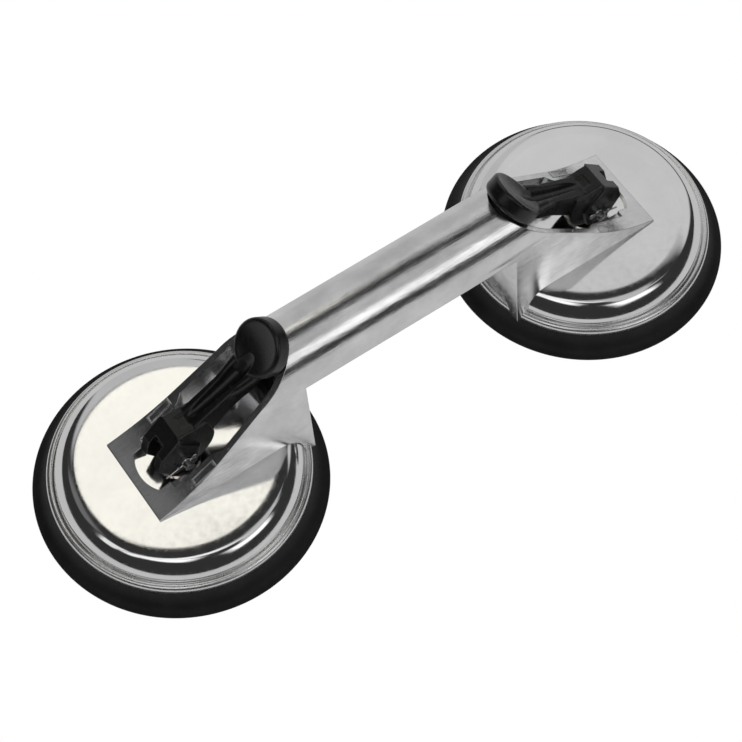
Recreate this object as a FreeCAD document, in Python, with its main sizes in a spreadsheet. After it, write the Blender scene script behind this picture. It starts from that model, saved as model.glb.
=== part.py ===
import FreeCAD, Part
import math
import os

import Sketcher

# A two-cup suction lifter: two rubber pads under pressed covers, one cast handle across them, and on
# each cup a forked cam lever that pulls the middle of the pad up by a stem.
# X runs along the handle, Y across it, Z up. The origin lies on the floor under the handle's middle.
# Each cup is drawn about its own axis, with x towards the handle's middle, and is then placed.

os.makedirs("parts", exist_ok=True)
doc = FreeCAD.newDocument("suction_lifter")
sheet = doc.addObject("Spreadsheet::Sheet", "Sizes")


class Size:
    """A length with the formula that gives it in the sheet."""

    def __init__(self, value, formula):
        self.value = value
        self.formula = formula

    def __add__(self, other):
        other = as_size(other)
        return Size(self.value + other.value, f"({self.formula} + {other.formula})")

    def __sub__(self, other):
        other = as_size(other)
        return Size(self.value - other.value, f"({self.formula} - {other.formula})")

    def __mul__(self, factor):
        factor = as_size(factor)
        return Size(self.value * factor.value, f"({self.formula} * {factor.formula})")

    def __truediv__(self, divisor):
        divisor = as_size(divisor)
        return Size(self.value / divisor.value, f"({self.formula} / {divisor.formula})")

    def __neg__(self):
        return Size(-self.value, f"(0 - {self.formula})")


def as_size(number):
    if isinstance(number, Size):
        return number
    return Size(float(number), repr(float(number)))


def sine(angle):
    return Size(math.sin(math.radians(angle.value)), f"sin({angle.formula})")


def cosine(angle):
    return Size(math.cos(math.radians(angle.value)), f"cos({angle.formula})")


row_count = 0


def size(name, value, note):
    """Writes one driving dimension into the sheet and returns it."""
    global row_count
    row_count += 1
    sheet.set(f"A{row_count}", name)
    sheet.set(f"B{row_count}", str(value))
    sheet.set(f"C{row_count}", note)
    sheet.setAlias(f"B{row_count}", name)
    return Size(float(value), f"Sizes.{name}")


ZERO = as_size(0)

# Cups and rubber pads
cup_pitch = size("cup_pitch", 202.5, "between the axes of the two cups")
pad_radius = size("pad_radius", 60, "widest circle of the rubber pad")
lip_height = size("lip_height", 2.6, "floor to the widest circle")
lip_land = size("lip_land", 10.6, "width of the ring that seals on the floor")
lip_tuck = size("lip_tuck", 1.4, "sealing ring inside the widest circle")
pad_recess = size("pad_recess", 2.2, "height of the hollow under the pad")
membrane_thickness = size("membrane_thickness", 3.8, "rubber between hollow and upper side")
recess_slope = size("recess_slope", 3, "run of the slope from the land into the hollow")
seat_height = size("seat_height", 8, "widest circle to the seat of the cover")
pad_wall_width = size("pad_wall_width", 7.2, "thick outer ring of the pad, below the cover")
pad_wall_slope = size("pad_wall_slope", 3, "run of the ring's inner side")
collar_width = size("collar_width", 3, "rubber around the backing plate")
collar_hook = size("collar_hook", 2.5, "rubber that reaches over the plate's edge")
collar_lip = size("collar_lip", 1.2, "thickness of that rubber")

# Pressed covers
cover_radius = size("cover_radius", 53.2, "outer edge of the pressed cover")
cover_sheet = size("cover_sheet", 1.5, "sheet thickness")
bead_width = size("bead_width", 3, "rolled bead along the edge")
bead_height = size("bead_height", 3.5, "edge to the foot of the cover's wall")
wall_lean = size("wall_lean", 0.7, "lean of the cover's wall")
wall_height = size("wall_height", 3, "upright part of the cover's wall")
shoulder_width = size("shoulder_width", 9, "run of the rounded shoulder")
shoulder_height = size("shoulder_height", 6, "rise of the rounded shoulder")
shoulder_radius = size("shoulder_radius", 9.5, "rounding of the shoulder")
bead_radius = size("bead_radius", 4, "rounding of the bead")

# Handle casting
grip_radius = size("grip_radius", 16, "outside of the half-round grip")
grip_rise = size("grip_rise", 31.5, "cover top to the grip's centre line")
grip_lip = size("grip_lip", 2.7, "straight edge below the half round")
casting_wall = size("casting_wall", 2.6, "wall of the casting")
shoe_reach = size("shoe_reach", 20.5, "front edge of the shoe beyond the cup's axis")
shoe_gap = size("shoe_gap", 101, "between the two end walls")
shoe_foot = size("shoe_foot", 20, "half width of the shoe at the cover's top")
front_edge = size("front_edge", 0.8, "height of the shoe's front edge over the cover")
rim_bend_reach = size("rim_bend_reach", 9.5, "bend of the slanted rim, inward of the cup's axis")
rim_bend_rise = size("rim_bend_rise", 15.3, "bend of the slanted rim over the cover")
rim_bend_radius = size("rim_bend_radius", 84, "hollow curve of the rim at its front")
rim_top = size("rim_top", 0.5, "upper end of the rim inward of the end wall")
foot_overhang = size("foot_overhang", 0.3, "end wall's foot over the pad")
slot_half_width = size("slot_half_width", 9.6, "half width of the lever's slot")
slot_radius = size("slot_radius", 17, "rounded front end of the slot")
ledge_half_width = size("ledge_half_width", 12.6, "half width of the relief for the pin's ends")
ledge_front = size("ledge_front", 9, "relief outward of the cup's axis")
ledge_back = size("ledge_back", 8, "relief inward of the cup's axis")
ledge_height = size("ledge_height", 3.4, "floor of the relief over the cover")
well_start = size("well_start", 15, "full width of the well, inward of the cup's axis")
well_curve = size("well_curve", 11, "rounding of the well's front corners")
mark_length = size("mark_length", 10, "raised outline beside the slot")
mark_width = size("mark_width", 3.4, "width of the outline")
mark_offset = size("mark_offset", 16.4, "outline from the middle plane")
mark_line = size("mark_line", 0.5, "line width of the outline")
mark_start = size("mark_start", -2.6, "outline's front end, inward of the cup's axis")
mark_rise = size("mark_rise", 0.3, "height of the outline")

# Screws that hold each cover to the casting
screw_radius = size("screw_radius", 1.95, "shank")
screw_clearance = size("screw_clearance", 0.25, "hole in the cover around the shank")
thread_clearance = size("thread_clearance", 0.05, "tapped hole around the shank")
screw_head_radius = size("screw_head_radius", 3.4, "pan head")
screw_head_height = size("screw_head_height", 2.6, "pan head")
screw_length = size("screw_length", 10, "under the head")
screw_spare = size("screw_spare", 1, "tapped hole past the end of the screw")
screw_front_inset = size("screw_front_inset", 3, "front screws inward of the cup's axis")
screw_front_side = size("screw_front_side", 15.2, "front screws from the middle plane")
screw_back_inset = size("screw_back_inset", 32.5, "rear screws inward of the cup's axis")
screw_back_side = size("screw_back_side", 13.5, "rear screws from the middle plane")
boss_radius = size("boss_radius", 3.8, "rear boss in the shoe")
boss_height = size("boss_height", 10.5, "rear boss over the cover")
washer_radius = size("washer_radius", 4.4, "plain washer")
washer_thickness = size("washer_thickness", 0.8, "plain washer")

# Stem, bush and backing plate
stem_radius = size("stem_radius", 5, "round stem")
slide_clearance = size("slide_clearance", 0.08, "stem in its bush")
tongue_thickness = size("tongue_thickness", 5, "flattened end of the stem")
eye_radius = size("eye_radius", 4.3, "rounded end of the tongue")
tongue_start = size("tongue_start", 15.5, "below the pin")
rivet_radius = size("rivet_radius", 3.5, "stem through the plate")
rivet_head_radius = size("rivet_head_radius", 6, "riveted end under the plate")
rivet_head_height = size("rivet_head_height", 1.3, "riveted end under the plate")
plate_radius = size("plate_radius", 25, "steel backing plate")
plate_thickness = size("plate_thickness", 3, "steel backing plate")
plate_bed = size("plate_bed", 0.5, "plate above the pad's upper side")
bush_radius = size("bush_radius", 9.2, "flange of the bush")
bush_flange = size("bush_flange", 1.2, "flange of the bush")
bush_barrel = size("bush_barrel", 1.5, "wall of the bush in the cover's hole")
bush_drop = size("bush_drop", 0.6, "bush below the cover's sheet")

# Lever, pin and clip, in the released position
pin_rise = size("pin_rise", 6.8, "bush top to the pin's axis, lever released")
pin_radius = size("pin_radius", 2, "cross pin")
pin_clearance = size("pin_clearance", 0.05, "pin in its holes")
pin_overhang = size("pin_overhang", 3.2, "pin's end beyond the fork")
pin_head_radius = size("pin_head_radius", 3.4, "pin's head")
pin_head_height = size("pin_head_height", 1.4, "pin's head")
clip_radius = size("clip_radius", 3.9, "spring clip")
clip_thickness = size("clip_thickness", 0.8, "spring clip")
clip_gap = size("clip_gap", 0.3, "fork to clip")
clip_bite = size("clip_bite", 0.6, "depth of the groove for the clip")
fork_half_width = size("fork_half_width", 7, "outside of the fork")
fork_gap = size("fork_gap", 0.3, "each side of the stem's tongue")
fork_throat = size("fork_throat", 0.6, "around the stem's eye")
cam_gap = size("cam_gap", 0.2, "cam feet over the bush, lever released")
cam_heel = size("cam_heel", 3, "first flat of the cam, inward of the pin")
cam_toe = size("cam_toe", 1.5, "first flat of the cam, outward of the pin")
cam_turn_1 = size("cam_turn_1", 51, "degrees the lever turns until this corner is lowest")
cam_rise_1 = size("cam_rise_1", 2.16, "further from the pin than the bush")
cam_turn_2 = size("cam_turn_2", 104, "degrees the lever turns until this corner is lowest")
cam_rise_2 = size("cam_rise_2", 5.45, "further from the pin than the bush")
cam_turn_3 = size("cam_turn_3", 137, "degrees the lever turns until this corner is lowest")
cam_rise_3 = size("cam_rise_3", 7.56, "further from the pin than the bush")
ridge_reach = size("ridge_reach", 1.2, "top ridge outward of the pin")
ridge_rise = size("ridge_rise", 18.6, "top ridge above the pin")
step_top = size("step_top", 14.2, "upper end of the ear's step above the pin")
step_reach = size("step_reach", 7.4, "lower end of the ear's step inward of the pin")
step_foot = size("step_foot", 5.2, "lower end of the ear's step above the pin")
heel_reach = size("heel_reach", 5, "heel inward of the pin")
heel_drop = size("heel_drop", 5.4, "heel below the pin")
root_half_width = size("root_half_width", 6, "root of the arm")
root_reach = size("root_reach", 14.6, "root's inner corner inward of the pin")
root_rise = size("root_rise", 8, "root's inner corner above the pin")
root_round = size("root_round", 14.4, "rounded underside of the root")
root_lean = size("root_lean", 2.6, "lean of the root's inner end")
bend_reach = size("bend_reach", 6, "bend of the arm's upper side inward of the pin")
bend_rise = size("bend_rise", 17.8, "bend of the arm's upper side above the pin")
arm_half_width = size("arm_half_width", 5, "arm")
arm_flare = size("arm_flare", 7, "half width of the arm at the thumb plate")
flare_length = size("flare_length", 12, "run of the flare")
flare_round = size("flare_round", 37, "hollow curve of the flare")
arm_bite = size("arm_bite", 1.5, "arm's end inside the thumb plate's edge")
groove_half_width = size("groove_half_width", 2.7, "channel between the arm's ribs")
groove_depth = size("groove_depth", 3, "channel between the arm's ribs")
groove_start = size("groove_start", 3.6, "channel's end inward of the ridge")
paddle_radius = size("paddle_radius", 11.8, "round thumb plate")
paddle_thickness = size("paddle_thickness", 7.6, "thumb plate")
paddle_rim = size("paddle_rim", 1.8, "raised rim around the dish")
paddle_face_edge = size("paddle_face_edge", 0.8, "broken edge of the rim")
paddle_back_round = size("paddle_back_round", 2.4, "rounding of the back")
paddle_dish = size("paddle_dish", 1.6, "depth of the dish")
paddle_reach = size("paddle_reach", 39.0, "centre of the dish's rim from the pin")
paddle_lift = size("paddle_lift", 40.6, "centre of the dish's rim above the pin")
paddle_tilt = size("paddle_tilt", 50, "degrees from level")

# Heights and places that follow from the sizes
seat_z = lip_height + seat_height
bead_top_z = seat_z + bead_height
wall_top_z = bead_top_z + wall_height
cover_top = wall_top_z + shoulder_height
cover_under = cover_top - cover_sheet
wall_foot_radius = cover_radius - bead_width
wall_top_radius = wall_foot_radius - wall_lean
flat_radius = wall_top_radius - shoulder_width
grip_z = cover_top + grip_rise
plate_z = pad_recess + membrane_thickness + plate_bed
plate_top = plate_z + plate_thickness
bush_top = cover_top + bush_flange
bush_bore = stem_radius + slide_clearance
bush_barrel_radius = bush_bore + bush_barrel
pin_z = bush_top + pin_rise
end_wall_inset = (cup_pitch - shoe_gap) / 2


def bind(thing, prop, length):
    thing.setExpression(prop, length.formula)


def arc_between(start, end, radius, turn):
    """The short arc from start to end; turn is 1 to the left of the way there, -1 to the right."""
    chord = end - start
    middle = (start + end) * 0.5
    side = FreeCAD.Vector(-chord.y, chord.x, 0).normalize()
    drop = math.sqrt(max(radius**2 - (chord.Length / 2) ** 2, 0))
    centre = middle + side * drop * turn
    first, last = (start, end) if turn > 0 else (end, start)
    angle_first = math.atan2(first.y - centre.y, first.x - centre.x)
    angle_last = math.atan2(last.y - centre.y, last.x - centre.x)
    circle = Part.Circle(centre, FreeCAD.Vector(0, 0, 1), radius)
    return Part.ArcOfCircle(circle, angle_first, angle_last)


def hold(sketch, kind, axis, geometry, end, length):
    """Fixes one coordinate of a point by a formula, or puts the point on the axis."""
    if length.formula == ZERO.formula:
        sketch.addConstraint(Sketcher.Constraint("PointOnObject", geometry, end, axis))
        return
    index = sketch.addConstraint(Sketcher.Constraint(kind, -1, 1, geometry, end, length.value))
    sketch.setExpression(f"Constraints[{index}]", length.formula)


def draw_loop(sketch, points, arcs=None, centres=None):
    """A closed outline through the points. arcs gives a side's radius and turn; centres gives the
    height of the centre where a side is a half circle."""
    arcs = arcs or {}
    centres = centres or {}
    spots = [FreeCAD.Vector(x.value, y.value, 0) for x, y in points]
    ends = []
    for index, start in enumerate(spots):
        end = spots[(index + 1) % len(spots)]
        if index in arcs:
            radius, turn = arcs[index]
            number = sketch.addGeometry(arc_between(start, end, radius.value, turn), False)
            ends.append((number, 1, 2) if turn > 0 else (number, 2, 1))
            if index in centres:
                hold(sketch, "DistanceY", -1, number, 3, centres[index])
            else:
                rule = sketch.addConstraint(Sketcher.Constraint("Radius", number, radius.value))
                bind(sketch, f"Constraints[{rule}]", radius)
        else:
            ends.append((sketch.addGeometry(Part.LineSegment(start, end), False), 1, 2))
    for index, (number, first, last) in enumerate(ends):
        following, following_first, unused = ends[(index + 1) % len(ends)]
        joint = Sketcher.Constraint("Coincident", number, last, following, following_first)
        sketch.addConstraint(joint)
        x, y = points[index]
        hold(sketch, "DistanceX", -2, number, first, x)
        hold(sketch, "DistanceY", -1, number, first, y)


def plane_of(body, role):
    return [plane for plane in body.Origin.OriginFeatures if plane.Role == role][0]


def body_sketch(body, name, role, points, arcs=None, centres=None):
    sketch = body.newObject("Sketcher::SketchObject", name)
    sketch.AttachmentSupport = [(plane_of(body, role), "")]
    sketch.MapMode = "FlatFace"
    draw_loop(sketch, points, arcs, centres)
    return sketch


PLANES = {
    "side": FreeCAD.Rotation(FreeCAD.Vector(1, 0, 0), 90),
    "section": FreeCAD.Rotation(FreeCAD.Vector(1, 1, 1), 120),
    "plan": FreeCAD.Rotation(),
}
NORMALS = {
    "side": FreeCAD.Vector(0, 1, 0),
    "section": FreeCAD.Vector(1, 0, 0),
    "plan": FreeCAD.Vector(0, 0, 1),
}


def prism(name, plane, points, length, arcs=None, centres=None, symmetric=True):
    """An outline drawn from the side, across the handle or from above, drawn out square to it."""
    sketch = doc.addObject("Sketcher::SketchObject", f"{name}_outline")
    sketch.Placement = FreeCAD.Placement(FreeCAD.Vector(), PLANES[plane])
    draw_loop(sketch, points, arcs, centres)
    solid = doc.addObject("Part::Extrusion", name)
    solid.Base = sketch
    solid.DirMode = "Custom"
    solid.Dir = NORMALS[plane]
    solid.Solid = True
    solid.Symmetric = symmetric
    bind(solid, "LengthFwd", length)
    return solid


def turned(name, points, arcs=None):
    """A round solid about the cup's axis from its outline."""
    sketch = doc.addObject("Sketcher::SketchObject", f"{name}_outline")
    sketch.Placement = FreeCAD.Placement(FreeCAD.Vector(), PLANES["side"])
    draw_loop(sketch, points, arcs)
    solid = doc.addObject("Part::Revolution", name)
    solid.Source = sketch
    solid.Axis = FreeCAD.Vector(0, 0, 1)
    solid.Angle = 360
    solid.Solid = True
    return solid


def rod(name, radius, length, place, towards=FreeCAD.Vector(0, 0, 1)):
    """A round bar that starts at its place and runs towards a direction."""
    solid = doc.addObject("Part::Cylinder", name)
    bind(solid, "Radius", radius)
    bind(solid, "Height", length)
    solid.Placement.Rotation = FreeCAD.Rotation(FreeCAD.Vector(0, 0, 1), towards)
    for axis, length in zip("xyz", place):
        bind(solid, f"Placement.Base.{axis}", length)
    return solid


def slab(name, low, high):
    """A box between two corners."""
    solid = doc.addObject("Part::Box", name)
    for side, axis, first, last in zip(("Length", "Width", "Height"), "xyz", low, high):
        bind(solid, side, last - first)
        bind(solid, f"Placement.Base.{axis}", first)
    return solid


def join(name, solids):
    fused = doc.addObject("Part::MultiFuse", name)
    fused.Shapes = solids
    fused.Refine = True
    return fused


def cut(name, base, tools):
    """The base without its tools."""
    result = doc.addObject("Part::Cut", name)
    result.Base = base
    result.Tool = tools[0] if len(tools) == 1 else join(f"{name}_tools", tools)
    result.Refine = True
    return result


def overlap(name, first, second):
    common = doc.addObject("Part::Common", name)
    common.Base = first
    common.Tool = second
    return common


def mirrored(name, source):
    """The same solid at the other end of the handle."""
    copy = doc.addObject("Part::Mirroring", name)
    copy.Source = source
    copy.Normal = FreeCAD.Vector(1, 0, 0)
    return copy


nodes = []


def finish(thing, label, side=None, turned_round=True):
    """Names a sub-part; a part of a cup also gets its place at that cup, the right one turned round."""
    thing.Label = label
    if side == "left":
        bind(thing, "Placement.Base.x", -(cup_pitch / 2))
    if side == "right":
        if turned_round:
            thing.Placement.Rotation = FreeCAD.Rotation(FreeCAD.Vector(0, 0, 1), 180)
        bind(thing, "Placement.Base.x", cup_pitch / 2)
    nodes.append(thing)
    return thing


def screw_places():
    """The four screws of a cup, about its own axis."""
    front = [(screw_front_inset, side) for side in (screw_front_side, -screw_front_side)]
    back = [(screw_back_inset, side) for side in (screw_back_side, -screw_back_side)]
    return front + back


def make_pad(side):
    """Rubber pad: sealing land, hollow, thick outer ring, and a collar around the backing plate."""
    land_inner = pad_radius - lip_tuck - lip_land
    ring_inner = cover_radius - pad_wall_width
    membrane_z = pad_recess + membrane_thickness
    hook_radius = plate_radius - collar_hook
    points = [
        (ZERO, pad_recess),
        (land_inner - recess_slope, pad_recess),
        (land_inner, ZERO),
        (pad_radius - lip_tuck, ZERO),
        (pad_radius, lip_height),
        (cover_radius, seat_z),
        (ring_inner, seat_z),
        (ring_inner - pad_wall_slope, membrane_z),
        (plate_radius + collar_width, membrane_z),
        (plate_radius + collar_width, plate_top + collar_lip),
        (hook_radius, plate_top + collar_lip),
        (hook_radius, plate_top),
        (plate_radius, plate_top),
        (plate_radius, plate_z),
        (rivet_head_radius, plate_z),
        (rivet_head_radius, plate_z - rivet_head_height),
        (ZERO, plate_z - rivet_head_height),
    ]
    body = doc.addObject("PartDesign::Body", f"{side}_pad_body")
    sketch = body_sketch(body, f"{side}_pad_outline", "XZ_Plane", points)
    revolve = body.newObject("PartDesign::Revolution", f"{side}_pad_round")
    revolve.Profile = (sketch, [""])
    revolve.ReferenceAxis = (sketch, ["V_Axis"])
    revolve.Angle = 360
    finish(body, f"{side}_pad", side)


def cover_outline(inset):
    """Upper side of the cover from its outer edge to the flat top; inset draws the lower side."""
    return [
        (cover_radius - inset, seat_z),
        (wall_foot_radius - inset, bead_top_z),
        (wall_top_radius - inset, wall_top_z),
        (flat_radius, cover_top - inset),
    ]


def make_cover(side):
    """Pressed cover with a rolled bead, doubled at its edge, a rounded shoulder and a flat top."""
    inner = cover_outline(cover_sheet)
    points = [(bush_barrel_radius, cover_under)] + inner[::-1] + cover_outline(ZERO)
    points += [(bush_barrel_radius, cover_top)]
    arcs = {
        1: (shoulder_radius - cover_sheet, -1),
        5: (bead_radius, 1),
        7: (shoulder_radius, 1),
    }
    body = doc.addObject("PartDesign::Body", f"{side}_cover_body")
    sketch = body_sketch(body, f"{side}_cover_outline", "XZ_Plane", points, arcs)
    revolve = body.newObject("PartDesign::Revolution", f"{side}_cover_round")
    revolve.Profile = (sketch, [""])
    revolve.ReferenceAxis = (sketch, ["V_Axis"])
    revolve.Angle = 360
    holes = body.newObject("Sketcher::SketchObject", f"{side}_cover_hole_places")
    holes.AttachmentSupport = [(plane_of(body, "XY_Plane"), "")]
    holes.MapMode = "FlatFace"
    for x, y in screw_places():
        centre = FreeCAD.Vector(x.value, y.value, 0)
        radius = screw_radius + screw_clearance
        circle = Part.Circle(centre, FreeCAD.Vector(0, 0, 1), radius.value)
        number = holes.addGeometry(circle, False)
        hold(holes, "DistanceX", -2, number, 3, x)
        hold(holes, "DistanceY", -1, number, 3, y)
        rule = holes.addConstraint(Sketcher.Constraint("Radius", number, radius.value))
        bind(holes, f"Constraints[{rule}]", radius)
    doc.recompute()
    pocket = body.newObject("PartDesign::Pocket", f"{side}_cover_holes")
    pocket.Profile = holes
    pocket.Type = "ThroughAll"
    pocket.Reversed = True
    finish(body, f"{side}_cover", side)


def bar_section(name, wall, length):
    """Half-round channel whose flanks spread towards the covers, drawn out along the handle."""
    half_grip = grip_radius - wall
    spread = shoe_foot - grip_radius
    # below the cover's top the flanks run on at the same draft
    foot = half_grip + spread + spread
    foot_z = cover_top - grip_rise
    points = [(foot, foot_z), (half_grip, grip_z), (-half_grip, grip_z), (-foot, foot_z)]
    return prism(name, "section", points, length, {1: (half_grip, 1)}, {1: grip_z})


def flank_prism(name, rise):
    """The casting from the side: slanted rims, end walls and grip; rise lifts the rims."""
    front = cup_pitch / 2 + shoe_reach
    end_wall = shoe_gap / 2
    bend = cup_pitch / 2 - rim_bend_reach
    grip_top = grip_z + grip_radius
    grip_under = grip_z - grip_lip
    foot_z = seat_z + foot_overhang
    front_z = cover_top + front_edge + rise
    bend_z = cover_top + rim_bend_rise + rise
    points = [
        (-front, foot_z),
        (-end_wall, foot_z),
        (-end_wall, grip_under),
        (end_wall, grip_under),
        (end_wall, foot_z),
        (front, foot_z),
        (front, front_z),
        (bend, bend_z),
        (end_wall - rim_top, grip_top + rise),
        (rim_top - end_wall, grip_top + rise),
        (-bend, bend_z),
        (-front, front_z),
    ]
    arcs = {6: (rim_bend_radius, -1), 10: (rim_bend_radius, -1)}
    return prism(name, "side", points, shoe_foot * 4, arcs)


def make_marks(bar):
    """Fine raised outlines on the shoe beside the slot."""
    raised = overlap("raised_deck", bar, flank_prism("raised_flanks", mark_rise))
    frames = []
    start = mark_start - cup_pitch / 2
    for number, middle in enumerate((mark_offset, -mark_offset)):
        low = (start, middle - mark_width / 2, cover_top)
        high = (start + mark_length, middle + mark_width / 2, grip_z)
        outer = slab(f"mark_outer_{number}", low, high)
        inner_low = (low[0] + mark_line, low[1] + mark_line, low[2])
        inner_high = (high[0] - mark_line, high[1] - mark_line, high[2])
        inner = slab(f"mark_inner_{number}", inner_low, inner_high)
        frames.append(cut(f"mark_frame_{number}", outer, [inner]))
    return overlap("marks", join("mark_frames", frames), raised)


def make_casting():
    """Handle casting: half-round grip, end walls, and two slotted shoes that stand on the covers."""
    front = cup_pitch / 2 + shoe_reach
    end_wall = shoe_gap / 2
    grip_top = grip_z + grip_radius
    grip_under = grip_z - grip_lip
    foot_z = seat_z + foot_overhang
    bar = bar_section("grip_bar", ZERO, front * 2)
    outside = overlap("casting_outside", bar, flank_prism("shoe_flanks", ZERO))

    # the channel under the grip runs on into both shoes and stops at the ledges beside the slots
    inner_bar = bar_section("channel_bar", casting_wall, front * 2)
    well_front = cup_pitch / 2 - ledge_back
    inner_wall = end_wall + casting_wall
    web_z = grip_under + casting_wall
    channel_points = [
        (-well_front, foot_z - front_edge),
        (-inner_wall, foot_z - front_edge),
        (-inner_wall, web_z),
        (-end_wall, web_z),
        (-end_wall, grip_under - front_edge),
        (end_wall, grip_under - front_edge),
        (end_wall, web_z),
        (inner_wall, web_z),
        (inner_wall, foot_z - front_edge),
        (well_front, foot_z - front_edge),
        (well_front, grip_top + front_edge),
        (-well_front, grip_top + front_edge),
    ]
    channel_side = prism("channel_side", "side", channel_points, shoe_foot * 4)
    well_wide = cup_pitch / 2 - well_start
    plan_points = [
        (-well_front, -ledge_half_width),
        (-well_wide, -shoe_foot),
        (well_wide, -shoe_foot),
        (well_front, -ledge_half_width),
        (well_front, ledge_half_width),
        (well_wide, shoe_foot),
        (-well_wide, shoe_foot),
        (-well_front, ledge_half_width),
    ]
    plan_arcs = {index: (well_curve, -1) for index in (0, 2, 4, 6)}
    channel_plan = prism("channel_plan", "plan", plan_points, grip_z * 3, plan_arcs)
    channel = overlap("channel", overlap("channel_bar_cut", inner_bar, channel_side), channel_plan)
    shell = cut("casting_shell", outside, [channel])

    # rear bosses stand against the flanks inside each shoe
    bosses = []
    for number, (x, y) in enumerate(screw_places()[2:]):
        place = (x - cup_pitch / 2, y, cover_top - cover_sheet)
        bosses.append(rod(f"boss_{number}", boss_radius, boss_height + cover_sheet, place))
    left_bosses = overlap("left_bosses", join("boss_pair", bosses), outside)
    right_bosses = mirrored("right_bosses", left_bosses)
    left_marks = make_marks(bar)
    right_marks = mirrored("right_marks", left_marks)
    body = join("casting_body", [shell, left_bosses, right_bosses, left_marks, right_marks])

    # left-hand cutters: cover seat, slot, relief for the pin's ends, tapped holes
    centre = -(cup_pitch / 2)
    seat_points = [(ZERO, ZERO)] + [(cover_radius, ZERO)] + cover_outline(ZERO) + [(ZERO, cover_top)]
    seat = turned("seat_cutter", seat_points, {2: (bead_radius, 1), 4: (shoulder_radius, 1)})
    bind(seat, "Placement.Base.x", centre)
    slot_arc = rod("slot_end", slot_radius, grip_top, (centre, ZERO, cover_under))
    high = grip_top + front_edge
    slot_box = slab(
        "slot_run",
        (centre - slot_radius, -slot_half_width, cover_under),
        (centre + ledge_back, slot_half_width, high),
    )
    slot = overlap("slot", slot_arc, slot_box)
    relief = slab(
        "pin_relief",
        (centre - ledge_front, -ledge_half_width, cover_top + ledge_height),
        (centre + ledge_back, ledge_half_width, high),
    )
    cutters = [seat, slot, relief]
    for number, (x, y) in enumerate(screw_places()):
        depth = screw_length + screw_spare
        place = (x + centre, y, cover_under - washer_thickness)
        cutters.append(rod(f"tapped_{number}", screw_radius + thread_clearance, depth, place))
    left_tools = join("left_end_tools", cutters)
    right_tools = mirrored("right_end_tools", left_tools)
    casting = cut("handle_casting_solid", body, [left_tools, right_tools])
    finish(casting, "handle_casting")


def make_screws(side):
    """Four pan-head screws and their washers, put in from below the cover."""
    screws = []
    washers = []
    head_top = cover_under - washer_thickness
    for number, (x, y) in enumerate(screw_places()):
        head_place = (x, y, head_top - screw_head_height)
        head = rod(f"{side}_screw_head_{number}", screw_head_radius, screw_head_height, head_place)
        shank = rod(f"{side}_screw_shank_{number}", screw_radius, screw_length, (x, y, head_top))
        screws.append(join(f"{side}_screw_{number}", [head, shank]))
        disc = rod(f"{side}_disc_{number}", washer_radius, washer_thickness, (x, y, head_top))
        hole_radius = screw_radius + screw_clearance
        hole = rod(f"{side}_hole_{number}", hole_radius, washer_thickness, (x, y, head_top))
        washers.append(cut(f"{side}_washer_{number}", disc, [hole]))
    for label, solids in (("cover_screws", screws), ("screw_washers", washers)):
        group = doc.addObject("Part::Compound", f"{side}_{label}_group")
        group.Links = solids
        finish(group, f"{side}_{label}", side)


def make_bush(side):
    """Flanged bush that guides the stem and carries the lever's cam feet."""
    points = [
        (bush_bore, cover_under - bush_drop),
        (bush_barrel_radius, cover_under - bush_drop),
        (bush_barrel_radius, cover_top),
        (bush_radius, cover_top),
        (bush_radius, bush_top),
        (bush_bore, bush_top),
    ]
    finish(turned(f"{side}_bush_round", points), f"{side}_stem_bush", side)


def make_plate(side):
    """Steel disc moulded into the pad; the stem is riveted through it."""
    points = [
        (rivet_radius, plate_z),
        (plate_radius, plate_z),
        (plate_radius, plate_top),
        (rivet_radius, plate_top),
    ]
    finish(turned(f"{side}_plate_round", points), f"{side}_backing_plate", side)


def make_stem(side):
    """Round stem, riveted below and flattened to an eye above."""
    tongue_z = pin_z - tongue_start
    points = [
        (ZERO, plate_z - rivet_head_height),
        (rivet_head_radius, plate_z - rivet_head_height),
        (rivet_head_radius, plate_z),
        (rivet_radius, plate_z),
        (rivet_radius, plate_top),
        (stem_radius, plate_top),
        (stem_radius, tongue_z),
        (ZERO, tongue_z),
    ]
    body = doc.addObject("PartDesign::Body", f"{side}_stem_body")
    sketch = body_sketch(body, f"{side}_stem_outline", "XZ_Plane", points)
    revolve = body.newObject("PartDesign::Revolution", f"{side}_stem_round")
    revolve.Profile = (sketch, [""])
    revolve.ReferenceAxis = (sketch, ["V_Axis"])
    revolve.Angle = 360
    root_z = tongue_z - tongue_thickness / 2
    tongue_points = [
        (eye_radius, root_z),
        (eye_radius, pin_z),
        (-eye_radius, pin_z),
        (-eye_radius, root_z),
    ]
    tongue = body_sketch(
        body, f"{side}_tongue_outline", "XZ_Plane", tongue_points, {1: (eye_radius, 1)}, {1: pin_z}
    )
    pad = body.newObject("PartDesign::Pad", f"{side}_tongue")
    pad.Profile = tongue
    bind(pad, "Length", tongue_thickness)
    pad.Midplane = True
    eye = body.newObject("Sketcher::SketchObject", f"{side}_eye_place")
    eye.AttachmentSupport = [(plane_of(body, "XZ_Plane"), "")]
    eye.MapMode = "FlatFace"
    bore = pin_radius + pin_clearance
    circle = Part.Circle(FreeCAD.Vector(0, pin_z.value, 0), FreeCAD.Vector(0, 0, 1), bore.value)
    number = eye.addGeometry(circle, False)
    hold(eye, "DistanceX", -2, number, 3, ZERO)
    hold(eye, "DistanceY", -1, number, 3, pin_z)
    rule = eye.addConstraint(Sketcher.Constraint("Radius", number, bore.value))
    bind(eye, f"Constraints[{rule}]", bore)
    doc.recompute()
    hole = body.newObject("PartDesign::Pocket", f"{side}_eye")
    hole.Profile = eye
    hole.Type = "ThroughAll"
    hole.Midplane = True
    finish(body, f"{side}_stem", side)


def lever_outline(name, spots, half_width, arcs=None):
    """A slice of the lever drawn from the side, from places measured from the pin."""
    points = [(as_size(x), pin_z + z) for x, z in spots]
    return prism(name, "side", points, half_width * 2, arcs)


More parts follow.
